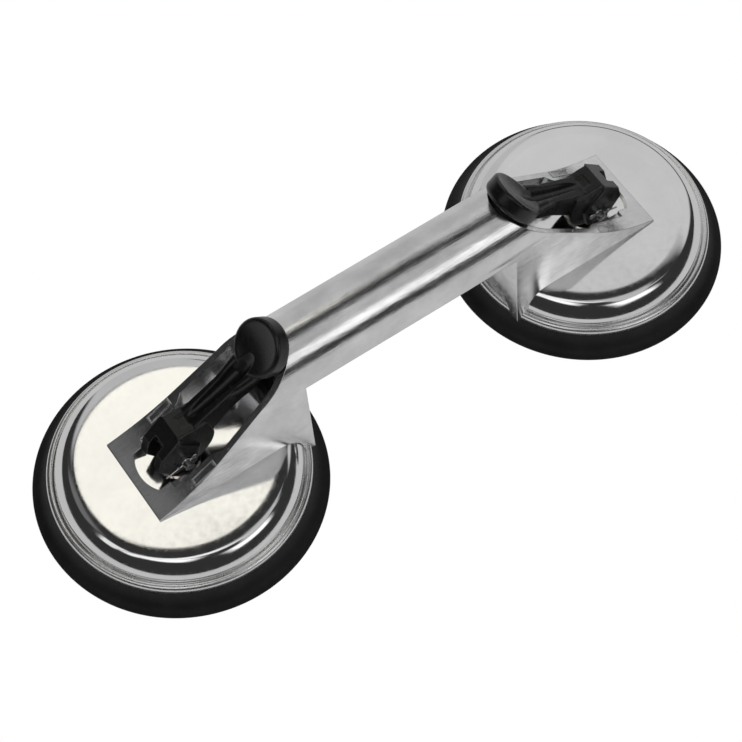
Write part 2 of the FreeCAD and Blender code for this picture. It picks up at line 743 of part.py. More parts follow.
def cam_corner(turn, rise):
    """The place that faces down once the lever has turned outward by turn."""
    reach = pin_rise + rise
    return (-(reach * sine(turn)), -(reach * cosine(turn)))


def on_thumb_plate(along, depth):
    """A place in the lever's middle plane, from the centre of the thumb plate's face."""
    x = paddle_reach + along * cosine(paddle_tilt) + depth * sine(paddle_tilt)
    z = paddle_lift + along * sine(paddle_tilt) - depth * cosine(paddle_tilt)
    return (x, z)


def make_thumb_plate(side):
    """Round plate with a rounded back and a hollow dish inside a raised rim."""
    back = -paddle_thickness
    points = [
        (ZERO, back),
        (paddle_radius - paddle_back_round, back),
        (paddle_radius, back + paddle_back_round),
        (paddle_radius, -paddle_face_edge),
        (paddle_radius - paddle_face_edge, ZERO),
        (ZERO, ZERO),
    ]
    plate = turned(f"{side}_thumb_disc", points, {1: (paddle_back_round, 1)})
    tilt = math.radians(paddle_tilt.value)
    facing = FreeCAD.Vector(-math.sin(tilt), 0, math.cos(tilt))
    plate.Placement.Rotation = FreeCAD.Rotation(FreeCAD.Vector(0, 0, 1), facing)
    for axis, place in zip("xyz", (paddle_reach, ZERO, pin_z + paddle_lift)):
        bind(plate, f"Placement.Base.{axis}", place)
    rim = paddle_radius - paddle_rim
    ball_radius = (rim * rim + paddle_dish * paddle_dish) / (paddle_dish * 2)
    x, z = on_thumb_plate(ZERO, paddle_dish - ball_radius)
    ball = doc.addObject("Part::Sphere", f"{side}_dish_ball")
    bind(ball, "Radius", ball_radius)
    for axis, place in zip("xyz", (x, ZERO, pin_z + z)):
        bind(ball, f"Placement.Base.{axis}", place)
    return cut(f"{side}_thumb_plate", plate, [ball])


def make_arm(side):
    """Arm with a channel between two ribs; it flares into the thumb plate."""
    ridge = (-ridge_reach, ridge_rise)
    bend = (bend_reach, bend_rise)
    end_along = arm_bite - paddle_radius
    top_end = on_thumb_plate(end_along, paddle_face_edge)
    under_end = on_thumb_plate(end_along, paddle_thickness - paddle_face_edge)
    side_spots = [ridge, bend, top_end, under_end, (root_reach, root_rise), (step_reach, step_foot)]
    arm_side = lever_outline(f"{side}_arm_side", side_spots, arm_flare)
    start = -(ridge_reach + arm_bite)
    flare_start = top_end[0] - flare_length
    far = paddle_reach + paddle_thickness
    plan_points = [
        (start, -arm_half_width),
        (flare_start, -arm_half_width),
        (top_end[0], -arm_flare),
        (far, -arm_flare),
        (far, arm_flare),
        (top_end[0], arm_flare),
        (flare_start, arm_half_width),
        (start, arm_half_width),
    ]
    plan_arcs = {1: (flare_round, -1), 5: (flare_round, -1)}
    arm_plan = prism(f"{side}_arm_plan", "plan", plan_points, grip_z * 3, plan_arcs)
    arm = overlap(f"{side}_arm", arm_side, arm_plan)
    root_spots = [
        (heel_reach, -heel_drop),
        (root_reach, root_rise),
        (root_reach - root_lean, bend_rise),
        ridge,
        (-cam_heel, ZERO),
    ]
    root = lever_outline(f"{side}_root", root_spots, root_half_width, {0: (root_round, 1)})
    groove_back = groove_start - ridge_reach
    groove_spots = [
        (groove_back, bend_rise - groove_depth),
        (bend_reach, bend_rise - groove_depth),
        (top_end[0], top_end[1] - groove_depth),
        (paddle_reach, top_end[1] - groove_depth),
        (paddle_reach, paddle_lift),
        (groove_back, paddle_lift),
    ]
    groove = lever_outline(f"{side}_groove", groove_spots, groove_half_width)
    return cut(f"{side}_ribbed_arm", join(f"{side}_arm_blank", [arm, root]), [groove])


def make_lever(side):
    """Moulded lever: a fork with cam feet over the bush, a ribbed arm and a dished thumb plate."""
    # each corner of the cam is further from the pin than the one before, so that the lever lifts
    # the stem evenly as it turns outward
    first_flat = cam_gap - pin_rise
    fork_spots = [
        (heel_reach, -heel_drop),
        (cam_heel, first_flat),
        (-cam_toe, first_flat),
        cam_corner(cam_turn_1, cam_rise_1),
        cam_corner(cam_turn_2, cam_rise_2),
        cam_corner(cam_turn_3, cam_rise_3),
        (-ridge_reach, ridge_rise),
        (-ridge_reach, step_top),
        (step_reach, step_foot),
    ]
    fork = lever_outline(f"{side}_fork", fork_spots, fork_half_width)
    blank = join(f"{side}_lever_blank", [fork, make_arm(side), make_thumb_plate(side)])

    # the fork's gap clears the stem's eye and is open outward and downward
    throat = eye_radius + fork_throat
    corner = throat * math.sqrt(0.5)
    far = pin_rise + cam_rise_3 + throat
    gap_spots = [
        (throat, ZERO),
        (corner, corner),
        (corner - far, corner + far),
        (-far, ZERO),
        (-far, -far),
        (throat, -far),
    ]
    gap = lever_outline(f"{side}_fork_gap", gap_spots, tongue_thickness / 2 + fork_gap)
    bore_place = (ZERO, -fork_half_width * 2, pin_z)
    bore = rod(
        f"{side}_pin_bore", pin_radius + pin_clearance, fork_half_width * 4, bore_place,
        FreeCAD.Vector(0, 1, 0),
    )
    finish(cut(f"{side}_lever_solid", blank, [gap, bore]), f"{side}_lever", side)


def make_pin(side):
    """Headed cross pin with a groove for its clip; both cups have the clip on the same side."""
    near = -fork_half_width - pin_overhang
    far = fork_half_width + clip_gap
    clip_near = -fork_half_width - clip_gap - clip_thickness
    along = FreeCAD.Vector(0, 1, 0)
    shank = rod(f"{side}_pin_shank", pin_radius, far - near, (ZERO, near, pin_z), along)
    head = rod(f"{side}_pin_head", pin_head_radius, pin_head_height, (ZERO, far, pin_z), along)
    blank = join(f"{side}_pin_blank", [shank, head])
    place = (ZERO, clip_near, pin_z)
    ring = rod(f"{side}_groove_ring", clip_radius, clip_thickness, place, along)
    core = rod(f"{side}_groove_core", pin_radius - clip_bite, clip_thickness, place, along)
    groove = cut(f"{side}_pin_groove", ring, [core])
    finish(cut(f"{side}_pin_solid", blank, [groove]), f"{side}_cross_pin", side, False)

    outer = rod(f"{side}_clip_disc", clip_radius, clip_thickness, place, along)
    bore = rod(f"{side}_clip_bore", pin_radius - clip_bite, clip_thickness, place, along)
    mouth = slab(
        f"{side}_clip_mouth",
        (-(pin_radius - clip_bite), clip_near, pin_z),
        (pin_radius - clip_bite, clip_near + clip_thickness, pin_z + clip_radius),
    )
    finish(cut(f"{side}_clip_solid", outer, [bore, mouth]), f"{side}_pin_clip", side, False)


make_casting()
for cup in ("left", "right"):
    make_cover(cup)
    make_pad(cup)
    make_screws(cup)
    make_bush(cup)
    make_plate(cup)
    make_stem(cup)
    make_lever(cup)
    make_pin(cup)

doc.recompute()

for thing in doc.Objects:
    if "Invalid" in thing.State or "Error" in thing.State:
        raise RuntimeError(f"{thing.Name} did not build: {thing.State}")
for node in nodes:
    if node.Shape.isNull() or not node.Shape.isValid():
        raise RuntimeError(f"{node.Label} has no valid shape")
for node in nodes:
    node.Shape.exportStep(f"parts/{node.Label}.step")
    print(f"{node.Label}: {len(node.Shape.Solids)} solids, {node.Shape.Volume:.0f} mm3")
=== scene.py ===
"""Looks of the tile suction lifter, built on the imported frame. Lengths are in metres."""
import math

import bmesh
import bpy
from mathutils import Matrix, Vector


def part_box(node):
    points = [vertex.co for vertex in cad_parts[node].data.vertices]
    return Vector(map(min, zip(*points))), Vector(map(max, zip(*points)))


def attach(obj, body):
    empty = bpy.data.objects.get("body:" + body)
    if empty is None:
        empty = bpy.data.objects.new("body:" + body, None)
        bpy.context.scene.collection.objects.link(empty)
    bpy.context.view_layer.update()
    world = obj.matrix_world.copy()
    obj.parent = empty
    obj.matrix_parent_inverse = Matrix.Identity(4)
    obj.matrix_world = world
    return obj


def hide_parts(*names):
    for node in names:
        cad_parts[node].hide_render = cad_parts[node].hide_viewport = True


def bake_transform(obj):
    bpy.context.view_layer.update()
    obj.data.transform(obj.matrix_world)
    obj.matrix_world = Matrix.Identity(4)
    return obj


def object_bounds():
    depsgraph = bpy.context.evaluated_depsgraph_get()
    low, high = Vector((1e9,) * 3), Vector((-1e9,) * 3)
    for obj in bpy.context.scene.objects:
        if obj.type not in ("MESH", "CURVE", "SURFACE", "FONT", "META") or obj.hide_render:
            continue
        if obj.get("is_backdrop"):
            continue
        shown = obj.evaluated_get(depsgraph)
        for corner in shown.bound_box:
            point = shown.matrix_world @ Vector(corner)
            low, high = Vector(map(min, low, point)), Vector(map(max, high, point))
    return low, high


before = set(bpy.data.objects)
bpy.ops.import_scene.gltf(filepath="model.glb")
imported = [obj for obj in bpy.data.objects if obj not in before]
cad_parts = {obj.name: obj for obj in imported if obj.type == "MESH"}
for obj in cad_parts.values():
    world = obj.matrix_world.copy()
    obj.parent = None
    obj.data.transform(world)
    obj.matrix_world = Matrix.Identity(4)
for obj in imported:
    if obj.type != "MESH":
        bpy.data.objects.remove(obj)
scene = bpy.context.scene
MM = 0.001
CUPS = ("left", "right")
RELIEF = 0.1 * MM  # depth that a bump of full strength stands for
SOCKET_A, SOCKET_B, SOCKET_RESULT = 6, 7, 2  # colour sockets of a Mix node


def note_bounds(name):
    low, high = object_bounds()
    return {name: [list(low), list(high)]}


sizes = note_bounds("loaded")


# ---------------------------------------------------------------- materials


class Shader:
    """Small helper that builds one node material."""

    def __init__(self, name):
        self.material = bpy.data.materials.new(name)
        self.material.use_nodes = True
        self.tree = self.material.node_tree
        self.surface = self.tree.nodes["Principled BSDF"]
        self.place = self.add("ShaderNodeTexCoord").outputs["Object"]

    def add(self, kind, **values):
        node = self.tree.nodes.new(kind)
        for key, value in values.items():
            setattr(node, key, value)
        return node

    def link(self, source, target):
        self.tree.links.new(source, target)

    def noise(self, scale, detail=4.0, rough=0.55, stretch=(1, 1, 1)):
        mapping = self.add("ShaderNodeMapping")
        mapping.inputs["Scale"].default_value = stretch
        self.link(self.place, mapping.inputs["Vector"])
        noise = self.add("ShaderNodeTexNoise")
        noise.inputs["Scale"].default_value = scale
        noise.inputs["Detail"].default_value = detail
        noise.inputs["Roughness"].default_value = rough
        self.link(mapping.outputs["Vector"], noise.inputs["Vector"])
        return noise.outputs["Fac"]

    def ramp(self, source, stops):
        ramp = self.add("ShaderNodeValToRGB")
        while len(ramp.color_ramp.elements) < len(stops):
            ramp.color_ramp.elements.new(0.5)
        for element, (spot, colour) in zip(ramp.color_ramp.elements, stops):
            element.position = spot
            element.color = (*colour, 1)
        self.link(source, ramp.inputs["Fac"])
        return ramp.outputs["Color"]

    def span(self, source, low, high, start=0.3, end=0.7):
        spread = self.add("ShaderNodeMapRange")
        spread.inputs["From Min"].default_value = start
        spread.inputs["From Max"].default_value = end
        spread.inputs["To Min"].default_value = low
        spread.inputs["To Max"].default_value = high
        self.link(source, spread.inputs["Value"])
        return spread.outputs["Result"]

    def calc(self, operation, *sources):
        node = self.add("ShaderNodeMath", operation=operation)
        for source, socket in zip(sources, node.inputs):
            self.link(source, socket)
        return node.outputs["Value"]

    def either(self, factor, first, second):
        """The first surface where the factor is 0, the second where it is 1."""
        mix = self.add("ShaderNodeMixShader")
        for source, socket in zip((factor, first, second), mix.inputs):
            self.link(source, socket)
        return mix.outputs["Shader"]

    def glow(self, strength=1.0, tint=(1, 1, 1)):
        light = self.add("ShaderNodeEmission")
        light.inputs["Color"].default_value = (*tint, 1)
        light.inputs["Strength"].default_value = strength
        return light.outputs["Emission"]

    def clear(self):
        return self.add("ShaderNodeBsdfTransparent").outputs["BSDF"]

    def camera_ray(self):
        return self.add("ShaderNodeLightPath").outputs["Is Camera Ray"]

    def show(self, surface):
        self.link(surface, self.tree.nodes["Material Output"].inputs["Surface"])

    def bump(self, source, strength, edge):
        """Fine relief; edge rounds the sharp edges, in millimetres."""
        bump = self.add("ShaderNodeBump")
        bump.inputs["Strength"].default_value = strength
        bump.inputs["Distance"].default_value = RELIEF
        self.link(source, bump.inputs["Height"])
        if edge:
            bevel = self.add("ShaderNodeBevel", samples=6)
            bevel.inputs["Radius"].default_value = edge * MM
            self.link(bevel.outputs["Normal"], bump.inputs["Normal"])
        self.link(bump.outputs["Normal"], self.surface.inputs["Normal"])

    def finish(
        self, colours, rough, metal, grain, strength, spots, edge=0, stretch=(1, 1, 1), waves=0.0
    ):
        """Two colours mixed by slow noise, roughness by finer noise, and a fine bump.

        grain and spots are the scales of the bump and of the slow noise, strength is the bump's,
        stretch draws the grain out along an axis, and waves adds the long shallow waves of a
        rolled or cast face.
        """
        slow = self.noise(spots, 5)
        low, high = colours
        self.link(self.ramp(slow, [(0.35, low), (0.7, high)]), self.surface.inputs["Base Color"])
        fine = self.noise(spots * 9, 6, 0.7, stretch)
        self.link(self.span(fine, *rough), self.surface.inputs["Roughness"])
        self.surface.inputs["Metallic"].default_value = metal
        relief = self.noise(grain, 3, 0.55, stretch)
        if waves:
            slow_waves = self.span(self.noise(spots * 0.8, 2), 0, waves)
            relief = self.calc("ADD", relief, slow_waves)
        self.bump(relief, strength, edge)
        return self.material


METAL, NOT_METAL = 1.0, 0.0
ALONG_HANDLE = (0.12, 1, 1)
cast = Shader("cast_aluminium").finish(
    ((0.72, 0.72, 0.73), (0.90, 0.90, 0.91)), (0.11, 0.29), METAL, 1500, 0.42, 60,
    edge=0.4, stretch=ALONG_HANDLE, waves=2.0,
)
pressed = Shader("pressed_aluminium").finish(
    ((0.84, 0.84, 0.84), (0.90, 0.90, 0.90)), (0.06, 0.15), METAL, 1500, 0.05, 42, waves=3.0
)
bead_finish = Shader("pressed_aluminium_bead").finish(
    ((0.80, 0.80, 0.80), (0.86, 0.86, 0.86)), (0.24, 0.34), METAL, 90, 0.02, 42
)
rubber = Shader("black_rubber").finish(
    ((0.010, 0.010, 0.011), (0.020, 0.020, 0.021)), (0.48, 0.62), NOT_METAL, 3500, 0.20, 80
)
rubber.node_tree.nodes["Principled BSDF"].inputs["Specular IOR Level"].default_value = 0.3


def painted_edge_highlight(shader, tone):
    """Lightens the sharp edges of a moulding in its colour, a painted highlight where the edges
    would catch the light.
    """
    source = shader.surface.inputs["Base Color"].links[0].from_socket
    edge = shader.add("ShaderNodeNewGeometry").outputs["Pointiness"]
    mix = shader.add("ShaderNodeMix", data_type="RGBA")
    shader.link(shader.span(edge, 0, 1, 0.515, 0.57), mix.inputs["Factor"])
    shader.link(source, mix.inputs[SOCKET_A])
    mix.inputs[SOCKET_B].default_value = (tone, tone, tone, 1)
    shader.link(mix.outputs[SOCKET_RESULT], shader.surface.inputs["Base Color"])
    return shader.material


moulding = Shader("black_plastic")
moulding.finish(
    ((0.004, 0.004, 0.004), (0.010, 0.010, 0.010)), (0.24, 0.38), NOT_METAL, 3600, 0.14, 90
)
# painted highlight: the lever's sharp edges are lightened in the base colour
plastic = painted_edge_highlight(moulding, 0.10)
zinc = Shader("zinc_steel").finish(
    ((0.52, 0.51, 0.47), (0.64, 0.62, 0.57)), (0.20, 0.34), METAL, 2400, 0.08, 120
)
bush = Shader("bush_steel").finish(
    ((0.62, 0.57, 0.50), (0.74, 0.70, 0.64)), (0.12, 0.22), METAL, 2400, 0.05, 120, edge=0.15
)
bright = Shader("bright_steel").finish(
    ((0.70, 0.70, 0.71), (0.80, 0.80, 0.81)), (0.10, 0.20), METAL, 2400, 0.05, 120, edge=0.15
)
by_slot = {
    "cast_aluminium": cast,
    "pressed_aluminium": pressed,
    "black_rubber": rubber,
    "black_plastic": plastic,
    "zinc_steel": zinc,
    "bush_steel": bush,
    "bright_steel": bright,
}


def coat(thing, material):
    thing.data.materials.clear()
    thing.data.materials.append(material)


slot_of = {
    "handle_casting": "cast_aluminium",
    "cover": "pressed_aluminium",
    "pad": "black_rubber",
    "lever": "black_plastic",
    "cover_screws": "zinc_steel",
    "screw_washers": "zinc_steel",
    "backing_plate": "zinc_steel",
    "stem_bush": "bush_steel",
    "stem": "bright_steel",
    "cross_pin": "bright_steel",
    "pin_clip": "bright_steel",
}
for name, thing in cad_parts.items():
    kind = name.replace("left_", "").replace("right_", "")
    coat(thing, by_slot[slot_of[kind]])


# ---------------------------------------------------------------- shapes


def dress(thing, body, slot, *nodes):
    """Gives a new piece its finish and its body, and hides the CAD nodes it stands for."""
    coat(thing, by_slot[slot])
    if nodes:
        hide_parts(*nodes)
    if body:
        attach(thing, body)
    return thing


def piece(name, mesh_code):
    """A new object from a bmesh in millimetres."""
    mesh = bpy.data.meshes.new(name)
    bmesh.ops.scale(mesh_code, vec=(MM, MM, MM), verts=mesh_code.verts)
    mesh_code.to_mesh(mesh)
    mesh_code.free()
    mesh.polygons.foreach_set("use_smooth", [True] * len(mesh.polygons))
    mesh.set_sharp_from_angle(angle=math.radians(50))
    thing = bpy.data.objects.new(name, mesh)
    scene.collection.objects.link(thing)
    return thing


def curve(start, lead, trail, end, steps=14):
    """Places along a Bezier curve, without its first place."""
    places = []
    for step in range(1, steps + 1):
        t = step / steps
        parts = ((1 - t) ** 3, 3 * t * (1 - t) ** 2, 3 * t * t * (1 - t), t ** 3)
        spots = (start, lead, trail, end)
        places.append(tuple(sum(p * s[axis] for p, s in zip(parts, spots)) for axis in (0, 1)))
    return places


def arc(centre, radius, first, last, steps=8):
    """Places along an arc, with angles in degrees from the outward direction."""
    places = []
    for step in range(steps + 1):
        angle = math.radians(first + (last - first) * step / steps)
        places.append((centre[0] + radius * math.cos(angle), centre[1] + radius * math.sin(angle)))
    return places


def lathe(name, outline, closed=False, turns=288):
    """Turns an outline of (radius, height) places about the z axis, always in the same order."""
    mesh = bmesh.new()
    angles = [math.tau * turn / turns for turn in range(turns)]
    rings = []
    for radius, height in outline:
        if radius:
            places = [(radius * math.cos(angle), radius * math.sin(angle)) for angle in angles]
            rings.append([mesh.verts.new((*place, height)) for place in places])
        else:
            rings.append([mesh.verts.new((0, 0, height))] * turns)
    if closed:
        rings.append(rings[0])
    for near, far in zip(rings, rings[1:]):
        for turn in range(turns):
            after = (turn + 1) % turns
            corners = dict.fromkeys((near[turn], near[after], far[after], far[turn]))
            mesh.faces.new(list(corners))
    bmesh.ops.recalc_face_normals(mesh, faces=mesh.faces)
    return piece(name, mesh)


def cup_centre(side):
    low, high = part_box(f"{side}_cover")
    return Vector(((low[0] + high[0]) / 2, 0, 0))


# ---------------------------------------------------------------- covers

cover_low, cover_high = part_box("left_cover")
COVER_RADIUS = (cover_high[0] - cover_low[0]) / 2 / MM
COVER_TOP = cover_high[2] / MM
SEAT = cover_low[2] / MM
bush_low, bush_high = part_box("left_stem_bush")
BUSH_FLANGE = 2.6
HOLE_RADIUS = (bush_high[0] - bush_low[0]) / 2 / MM - BUSH_FLANGE
SHEET = 1.5
BEAD = 1.75
FLAT_RADIUS = 38.6
# the shoulder: length along the sheet from the flat top, and its slope in degrees
SHOULDER = [
    (0, 0), (2.2, 3.5), (4.5, 13), (6.1, 29), (7.8, 43), (10.6, 52), (12.9, 60), (13.6, 74)
]
WALL_FOOT = (50.25, SEAT + 3.15)
BEAD_CENTRE = (COVER_RADIUS - BEAD, SEAT + 1.9)
BEAD_START = 138  # degrees from the outward direction, where the groove ends


def shoulder(steps=72):
    """Places down the shoulder, found by following its slope."""
    places = [(FLAT_RADIUS, COVER_TOP)]
    stride = SHOULDER[-1][0] / steps
    for step in range(steps):
        along = (step + 0.5) * stride
        for (near, low), (far, high) in zip(SHOULDER, SHOULDER[1:]):
            if near <= along <= far:
                slope = math.radians(low + (high - low) * (along - near) / (far - near))
        radius, height = places[-1]
        places.append((radius + stride * math.cos(slope), height - stride * math.sin(slope)))
    return places


def cover_outline():
    """Flat top, shoulder that starts gently, wall, thin groove, rolled bead, and the lower side."""
    upper = [(HOLE_RADIUS, COVER_TOP - 0.2), (HOLE_RADIUS + 0.2, COVER_TOP)]
    upper += [(HOLE_RADIUS + 0.5, COVER_TOP), (FLAT_RADIUS - 0.5, COVER_TOP)] + shoulder()
    upper += [WALL_FOOT, (WALL_FOOT[0] + 0.02, WALL_FOOT[1] - 0.3)]
    upper += arc(BEAD_CENTRE, BEAD, BEAD_START, 0, 20)
    upper += [(COVER_RADIUS, SEAT + 0.4), (COVER_RADIUS - 0.4, SEAT)]
    lower = [(COVER_RADIUS - 2.6, SEAT), (WALL_FOOT[0] - SHEET, WALL_FOOT[1] - 1)]
    lower += [(47.7, 16.2), (44.4, 20.0), (42.0, COVER_TOP - SHEET - 0.5)]
    lower += [(FLAT_RADIUS, COVER_TOP - SHEET), (HOLE_RADIUS, COVER_TOP - SHEET)]
    return upper + lower


for side in CUPS:
    cover = lathe(f"{side}_pressed_cover", cover_outline(), closed=True)
    cover.location = cup_centre(side)
    dress(cover, "lifter_body", "pressed_aluminium", f"{side}_cover")
    cover.data.materials.append(bead_finish)
    for face in cover.data.polygons:
        outward = Vector(face.center[:2]).length / MM
        if outward > WALL_FOOT[0] and face.center[2] / MM < WALL_FOOT[1] + 0.5:
            face.material_index = 1


# ---------------------------------------------------------------- pads

pad_low, pad_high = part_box("left_pad")
PAD_RADIUS = (pad_high[0] - pad_low[0]) / 2 / MM
LIP = 2.6
LAND_INNER = PAD_RADIUS - 12
HOLLOW = 2.2
MEMBRANE_TOP = 6.0
RING_INNER = 43.0
COLLAR = 28.0
plate_low, plate_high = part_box("left_backing_plate")
PLATE_RADIUS = (plate_high[1] - plate_low[1]) / 2 / MM
PLATE_TOP = plate_high[2] / MM
PLATE_UNDER = plate_low[2] / MM
COLLAR_TOP = PLATE_TOP + 1.2
COLLAR_LIP = 2.5
COLLAR_EDGE = 0.4
STEM_POCKET = 6.2
POCKET_FLOOR = 5.2
SECTORS = 16


def ring_outline():
    """Thick outer ring: sealing land below, lip outside, and a hollow flank up to the cover."""
    flank = curve((COVER_RADIUS, SEAT), (COVER_RADIUS + 1.3, 5.4), (57.2, 3.6), (59.3, 3.25), 14)
    lip = arc((PAD_RADIUS - 0.8, LIP - 0.1), 0.8, 70, -40, 6)
    land = [(58.9, 0.35), (58.4, 0), (LAND_INNER + 0.6, 0), (LAND_INNER, 0.2)]
    inside = [(LAND_INNER - 2.6, HOLLOW - 0.2), (LAND_INNER - 3.2, HOLLOW), (RING_INNER, HOLLOW)]
    upper = [(RING_INNER, MEMBRANE_TOP), (46, SEAT), (COVER_RADIUS, SEAT)]
    return flank + lip + land + inside + upper


def middle_outline():
    """Middle of the pad: thin rubber below, and the collar that holds the backing plate."""
    lip_inner = PLATE_RADIUS - COLLAR_LIP
    return [
        (0, HOLLOW),
        (COLLAR, HOLLOW),
        (COLLAR, MEMBRANE_TOP),
        (COLLAR, COLLAR_TOP - COLLAR_EDGE),
        (COLLAR - COLLAR_EDGE, COLLAR_TOP),
        (lip_inner + COLLAR_EDGE, COLLAR_TOP),
        (lip_inner, COLLAR_TOP - COLLAR_EDGE),
        (lip_inner, PLATE_TOP),
        (PLATE_RADIUS, PLATE_TOP),
        (PLATE_RADIUS, PLATE_UNDER),
        (STEM_POCKET, PLATE_UNDER),
        (STEM_POCKET, POCKET_FLOOR),
        (0, POCKET_FLOOR),
    ]


def web_sector(name, first, last):
    """One part of the thin web between the ring and the middle, as a closed solid."""
    steps, turns = 14, 6
    mesh = bmesh.new()
    grid = []
    for turn in range(turns + 1):
        angle = math.radians(first + (last - first) * turn / turns)
        row = []
        for height in (HOLLOW, MEMBRANE_TOP):
            for step in range(steps + 1):
                r = COLLAR + (RING_INNER - COLLAR) * step / steps
                row.append(mesh.verts.new((r * math.cos(angle), r * math.sin(angle), height)))
        grid.append(row[: steps + 1] + row[: steps : -1])
    count = len(grid[0])
    for near, far in zip(grid, grid[1:]):
        for spot in range(count):
            after = (spot + 1) % count
            mesh.faces.new((near[spot], near[after], far[after], far[spot]))
    mesh.faces.new(grid[0])
    mesh.faces.new(grid[-1])
    bmesh.ops.recalc_face_normals(mesh, faces=mesh.faces)
    return piece(name, mesh)


for side in CUPS:
    centre = cup_centre(side)
    ring = lathe(f"{side}_pad_ring", ring_outline(), closed=True)
    ring.location = centre
    dress(ring, "lifter_body", "black_rubber", f"{side}_pad")
    middle = lathe(f"{side}_pad_middle", middle_outline())
    middle.location = centre
    dress(middle, f"{side}_plunger", "black_rubber", f"{side}_pad")
    width = 360 / SECTORS
    for number in range(SECTORS):
        web = web_sector(f"{side}_pad_web_{number + 1:02d}", number * width, (number + 1) * width)
        web.location = centre
        dress(web, None, "black_rubber", f"{side}_pad")
        aim = math.radians((number + 0.5) * width)
        outward = Vector((math.cos(aim), math.sin(aim), 0))
        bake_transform(web)


# ---------------------------------------------------------------- levers


PIN_RISE = 31.1
PADDLE = (39.0, 40.6)
TILT = math.radians(50)
ARM_SLOPE = math.radians(36)
VOXEL = 0.26
BALL_STRIDE = 0.35
PRESS_STEPS = 12


def on_lever(side, reach, across, rise):
    """A place measured from the cross pin: towards the handle, to the side, and up."""
    way = 1 if side == "left" else -1
    return Vector((cup_centre(side)[0] / MM + way * reach, way * across, PIN_RISE + rise))


def balls(side, places):
    """A row of overlapping balls; each place is reach, across, rise, radius."""
    mesh = bmesh.new()
    for (*near, near_radius), (*far, far_radius) in zip(places, places[1:]):
        steps = max(2, int((Vector(far) - Vector(near)).length / BALL_STRIDE))
        for step in range(steps):
            part = step / steps
            spot = Vector(near).lerp(Vector(far), part)
            radius = near_radius + (far_radius - near_radius) * part
            bmesh.ops.create_icosphere(
                mesh, subdivisions=3, radius=radius,
                matrix=Matrix.Translation(on_lever(side, *spot)),
            )
    return mesh


def bar(side, outline, half_width):
    """A bar across the lever; its outline is given as reach and rise."""
    mesh = bmesh.new()
    rows = [
        [mesh.verts.new(on_lever(side, reach, across, rise)) for reach, rise in outline]
        for across in (-half_width, half_width)
    ]
    for row in rows:
        mesh.faces.new(row)
    for spot in range(len(outline)):
        after = (spot + 1) % len(outline)
        mesh.faces.new((rows[0][spot], rows[0][after], rows[1][after], rows[1][spot]))
    bmesh.ops.recalc_face_normals(mesh, faces=mesh.faces)
    return mesh


def settled(thing):
    """Turns a piece's modifiers into its mesh."""
    bpy.context.view_layer.update()
    found = thing.evaluated_get(bpy.context.evaluated_depsgraph_get())
    mesh = bpy.data.meshes.new_from_object(found)
    thing.modifiers.clear()
    thing.data = mesh


def new_skin(thing):
    """Fuses overlapping closed forms into one skin of even faces."""
    remesh = thing.modifiers.new("skin", "REMESH")
    remesh.mode = "VOXEL"
    remesh.voxel_size = VOXEL * MM


def thumb_spot(along, depth, across=0.0):
    """A place on the thumb plate: along its face, below its rim, and to the side."""
    reach = PADDLE[0] + along * math.cos(TILT) + depth * math.sin(TILT)
    rise = PADDLE[1] + along * math.sin(TILT) - depth * math.cos(TILT)
    return (reach, across, rise)


# the hollow between the ribs: reach, across, rise and radius of the ball that shapes it
CHANNEL = [
    (2.6, 0, 19.6, 0.8),
    (6, 0, 19.6, 1.7),
    (10, 0, 21.2, 2.3),
    (16, 0, 24.1, 2.7),
    (23, 0, 27.9, 3.1),
    (29, 0, 31.6, 3.7),
    (*thumb_spot(-9.0, -2.4), 4.3),
    (*thumb_spot(-5.0, -4.2), 5.8),
]


def press(thing, side, places):
    """Presses a row of balls into the upper side of a lever."""
    facing = Vector((-math.sin(ARM_SLOPE), 0, math.cos(ARM_SLOPE)))
    if side == "right":
        facing.x = -facing.x
    row = []
    for (*near, near_radius), (*far, far_radius) in zip(places, places[1:]):
        for step in range(PRESS_STEPS):
            part = step / PRESS_STEPS
            spot = on_lever(side, *Vector(near).lerp(Vector(far), part)) * MM
            row.append((spot, (near_radius + (far_radius - near_radius) * part) * MM))
    for vertex in thing.data.vertices:
        drop = 0
        for centre, radius in row:
            offset = vertex.co - centre
            if offset.length_squared < radius * radius:
                rise = offset.dot(facing)
                beside = offset.length_squared - rise * rise
                drop = max(drop, rise + math.sqrt(radius * radius - beside))
        if drop:
            vertex.co -= facing * drop


def moulded_lever(side):
    """The CAD lever with the soft edges, the spoon-like neck and the channel of a moulding."""
    mesh = bmesh.new()
    mesh.from_mesh(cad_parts[f"{side}_lever"].data)
    bmesh.ops.scale(mesh, vec=(1 / MM, 1 / MM, 1 / MM), verts=mesh.verts)
    lever = piece(f"{side}_moulded_lever", mesh)
    parts = [lever]
    # the straight channel is filled first, and the neck spreads into the thumb plate
    filler = [(1.8, 13.5), (1.8, 18.1), (6, 17.7), (33.2, 32.0), (36, 35), (38, 30), (16, 17)]
    parts.append(piece("filler", bar(side, filler, 3.0)))
    for way in (1, -1):
        neck = [
            (22, way * 3.2, 24.0, 1.7),
            (28, way * 4.3, 27.6, 2.2),
            (*thumb_spot(-8.2, 3.8, way * 5.4), 2.7),
            (*thumb_spot(-5.0, 3.9, way * 7.6), 3.0),
        ]
        parts.append(piece("neck", balls(side, neck)))
    join(parts)
    new_skin(lever)
    settled(lever)
    press(lever, side, CHANNEL)
    new_skin(lever)
    soft = lever.modifiers.new("soft_edges", "SMOOTH")
    soft.factor = 0.5
    soft.iterations = 4
    settled(lever)
    lever.data.polygons.foreach_set("use_smooth", [True] * len(lever.data.polygons))
    return lever


def join(parts):
    """Joins the meshes of several pieces into the first."""
    mesh = bmesh.new()
    for part in parts:
        mesh.from_mesh(part.data)
    mesh.to_mesh(parts[0].data)
    mesh.free()
    for part in parts[1:]:
        bpy.data.objects.remove(part)


